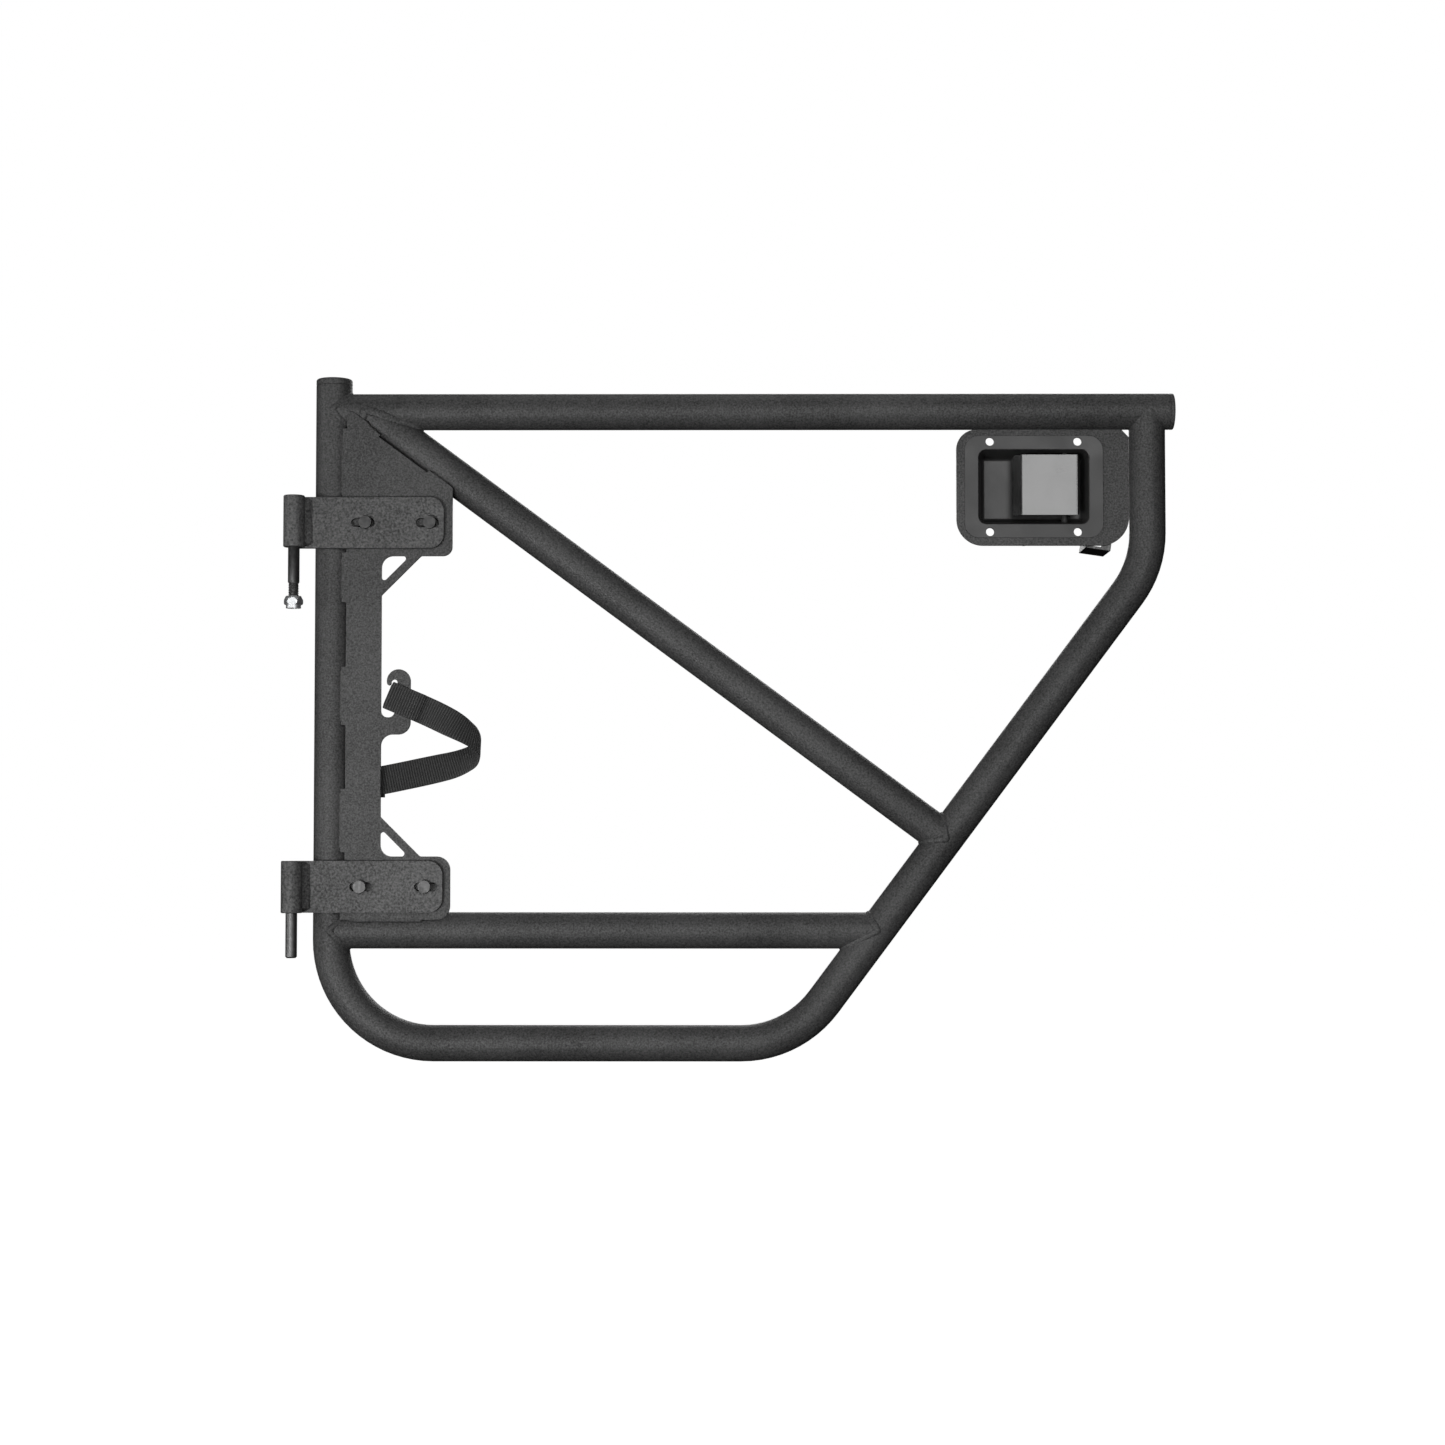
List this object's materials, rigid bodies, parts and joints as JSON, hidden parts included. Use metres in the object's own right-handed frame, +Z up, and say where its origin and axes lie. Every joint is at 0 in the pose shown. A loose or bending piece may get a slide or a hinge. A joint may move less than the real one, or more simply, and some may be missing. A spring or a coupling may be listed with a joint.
{
  "type": "off-road vehicle tube door",
  "caption": "Rear half door made of bent round tube, with slotted hinge arms and drop-in pins, a recessed paddle latch with slam bolt and a webbing check strap.",
  "frame": {"origin": "on the hinge axis, at the lower knuckle's bottom face, where the lower hinge pin starts", "axes": "+Z up along the hinge axis, against the pins; +X from the hinges to the vehicle's rear, along the door; -Y outwards, away from the vehicle, +Y through the door's thickness"},
  "size_m": [0.9344, 0.1057, 0.719],
  "materials": {
    "powder_coat": "fine textured matte powder coat",
    "hinge_coat": "coarse textured matte powder coat",
    "black_steel": "black oxide, satin",
    "satin_black": "smooth satin to gloss black paint",
    "zinc_plate": "bright zinc plate",
    "nylon": "moulded nylon",
    "webbing": "ribbed woven nylon webbing"
  },
  "bodies": {
    "door_frame": {"hoop_tube": "powder_coat", "top_rail": "powder_coat", "lower_rail": "powder_coat", "diagonal_brace": "powder_coat", "front_tube_cap": "powder_coat", "rear_tube_cap": "powder_coat", "hinge_plate": "powder_coat", "hinge_bolts": "black_steel", "hinge_washers": "black_steel", "hinge_nuts": "black_steel", "latch_plate": "powder_coat", "latch_dish": "satin_black", "bolt_guide": "black_steel", "striker_guide": "black_steel", "bolt_spring": "zinc_plate", "check_strap": "webbing", "strap_end_loop": "webbing", "strap_tail_loop": "webbing", "strap_anchor": "powder_coat"},
    "upper_hinge": {"upper_hinge_arm": "hinge_coat", "upper_knuckle": "hinge_coat", "upper_hinge_pin": "black_steel"},
    "lower_hinge": {"lower_hinge_arm": "hinge_coat", "lower_knuckle": "hinge_coat", "lower_hinge_pin": "black_steel"},
    "lock_nut": {"pin_lock_nut": "zinc_plate", "pin_nut_insert": "nylon"},
    "paddle": {"paddle_handle": "satin_black", "paddle_shaft": "zinc_plate", "shaft_clip": "zinc_plate", "crank_lever": "black_steel"},
    "latch_bolt": {"latch_bolt": "zinc_plate", "bolt_tail_clip": "zinc_plate"}
  },
  "joints": [
    {"name": "paddle_hinge", "type": "hinge", "parent": "door_frame", "child": "paddle", "pos_m": [0.8096, 0.0474, 0.4483], "axis": [0, 0, 1], "range_deg": [0, 35], "stiffness_Nm_per_rad": 1, "springref_deg": -17.19},
    {"name": "bolt_slide", "type": "slide", "parent": "door_frame", "child": "latch_bolt", "axis": [1, 0, 0], "range_m": [-0.0146, 0], "deforming": ["bolt_spring"]},
    {"name": "upper_arm_slide", "type": "slide", "parent": "door_frame", "child": "upper_hinge", "axis": [1, 0, 0], "range_m": [-0.005, 0.0095]},
    {"name": "lower_arm_slide", "type": "slide", "parent": "door_frame", "child": "lower_hinge", "axis": [1, 0, 0], "range_m": [-0.0085, 0.006]},
    {"name": "lock_nut_travel", "type": "slide", "parent": "upper_hinge", "child": "lock_nut", "axis": [0, 0, -1], "range_m": [0, 0.065]}
  ],
  "couplings": [
    {"joint": "bolt_slide", "follows": "paddle_hinge", "m_per_rad": -0.0235}
  ]
}
